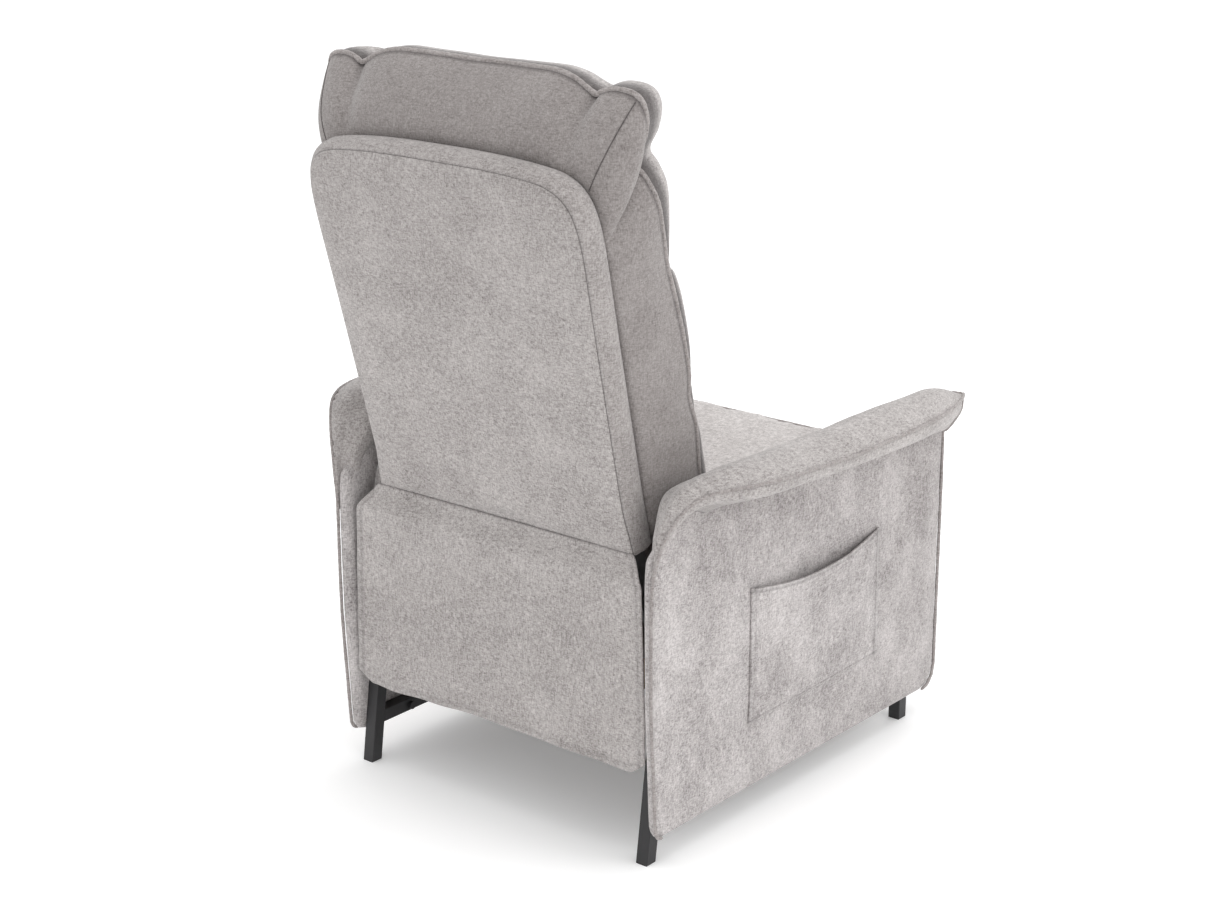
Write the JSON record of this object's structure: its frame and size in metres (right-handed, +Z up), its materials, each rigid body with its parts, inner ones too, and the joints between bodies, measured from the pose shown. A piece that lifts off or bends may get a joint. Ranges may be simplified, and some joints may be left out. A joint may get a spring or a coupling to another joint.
{
  "type": "recliner armchair",
  "caption": "Push-back recliner armchair: high leaning back with a loose-fronted cushion, flared arms, side pocket, folding footrest and a black square-tube base.",
  "frame": {"origin": "on the floor, under the middle of the closed chair, midway between its front and rear", "axes": "+Z up, the seat faces -Y, +X towards the sitter's left"},
  "size_m": [0.7764, 0.819, 1.0882],
  "materials": {
    "chenille": "soft warm light grey velour upholstery, brushed with short lighter and darker flecks",
    "black_steel": "black powder coat, satin",
    "zinc_steel": "zinc-plated pressed steel",
    "spring_wire": "oiled dark spring steel",
    "beech": "planed beech, unfinished",
    "plywood": "birch plywood",
    "nylon": "moulded black nylon"
  },
  "bodies": {
    "base": {"rear_leg_left": "black_steel", "rear_leg_right": "black_steel", "front_leg_left": "black_steel", "front_leg_right": "black_steel", "low_rail_left": "black_steel", "low_rail_right": "black_steel", "arm_rail_left": "beech", "arm_rail_right": "beech", "guide_channel_left": "zinc_steel", "guide_channel_right": "zinc_steel", "arm_panel_left": "chenille", "arm_panel_right": "chenille", "arm_roll_left": "chenille", "arm_roll_right": "chenille", "panel_bolt_left_1": "black_steel", "panel_bolt_left_2": "black_steel", "panel_bolt_right_1": "black_steel", "panel_bolt_right_2": "black_steel", "cross_tube_front": "black_steel", "cross_tube_rear": "black_steel", "side_pocket": "chenille"},
    "seat": {"seat_side_plate_left": "zinc_steel", "seat_side_plate_right": "zinc_steel", "seat_rail_left": "beech", "seat_rail_right": "beech", "hinge_bolt_left": "zinc_steel", "hinge_bolt_right": "zinc_steel", "guide_roller_left_1": "nylon", "guide_roller_left_2": "nylon", "guide_roller_right_1": "nylon", "guide_roller_right_2": "nylon", "seat_rail_front": "beech", "seat_rail_rear": "beech", "seat_cushion": "chenille", "seat_spring_1": "spring_wire", "seat_spring_2": "spring_wire", "seat_spring_3": "spring_wire"},
    "back": {"outer_back": "chenille", "back_frame": "beech", "back_spring_1": "spring_wire", "back_spring_2": "spring_wire", "back_cushion": "chenille", "hinge_bracket_left": "zinc_steel", "hinge_bracket_right": "zinc_steel"},
    "flap": {"rear_flap": "chenille"},
    "lower_links": {"lower_lift_link_left": "zinc_steel", "lower_lift_link_right": "zinc_steel", "lift_torque_tube": "zinc_steel"},
    "upper_links": {"upper_lift_link_left": "zinc_steel", "upper_lift_link_right": "zinc_steel"},
    "steering_links": {"steering_link_left": "zinc_steel", "steering_link_right": "zinc_steel"},
    "footrest_stays": {"footrest_stay_left": "zinc_steel", "footrest_stay_right": "zinc_steel"},
    "footrest": {"footrest_board": "plywood", "footrest_pad": "chenille", "footrest_bracket_left": "zinc_steel", "footrest_bracket_right": "zinc_steel"}
  },
  "joints": [
    {"name": "back_recline", "type": "hinge", "parent": "seat", "child": "back", "pos_m": [0, 0.21054, 0.33], "axis": [-1, 0, 0], "range_deg": [0, 36]},
    {"name": "seat_glide", "type": "slide", "parent": "base", "child": "seat", "axis": [0, -1, 0], "range_m": [0, 0.045]},
    {"name": "flap_hang", "type": "hinge", "parent": "back", "child": "flap", "pos_m": [0, 0.27974, 0.4409], "axis": [-1, 0, 0], "range_deg": [-36.5, 0]},
    {"name": "footrest_lift", "type": "hinge", "parent": "seat", "child": "lower_links", "pos_m": [0, -0.22446, 0.27], "axis": [-1, 0, 0], "range_deg": [0, 75.39]},
    {"name": "upper_link_fold", "type": "hinge", "parent": "lower_links", "child": "upper_links", "pos_m": [0, -0.24284, 0.08089], "axis": [-1, 0, 0], "range_deg": [-113.89, 0]},
    {"name": "steering_link_swing", "type": "hinge", "parent": "seat", "child": "steering_links", "pos_m": [0, -0.31016, 0.2806], "axis": [-1, 0, 0], "range_deg": [0, 99.86]},
    {"name": "stay_fold", "type": "hinge", "parent": "steering_links", "child": "footrest_stays", "pos_m": [0, -0.25328, 0.07561], "axis": [-1, 0, 0], "range_deg": [-129.37, 0]},
    {"name": "footrest_turn", "type": "hinge", "parent": "upper_links", "child": "footrest", "pos_m": [0, -0.32946, 0.25], "axis": [-1, 0, 0], "range_deg": [0, 128.51]}
  ],
  "couplings": [
    {"joint": "seat_glide", "follows": "back_recline", "m_per_rad": 0.0716},
    {"joint": "flap_hang", "follows": "back_recline", "ratio": -1},
    {"joint": "upper_link_fold", "follows": "footrest_lift", "ratio": -1.5041},
    {"joint": "steering_link_swing", "follows": "footrest_lift", "ratio": 1.318},
    {"joint": "stay_fold", "follows": "footrest_lift", "ratio": -1.7094},
    {"joint": "footrest_turn", "follows": "footrest_lift", "ratio": 1.698}
  ]
}
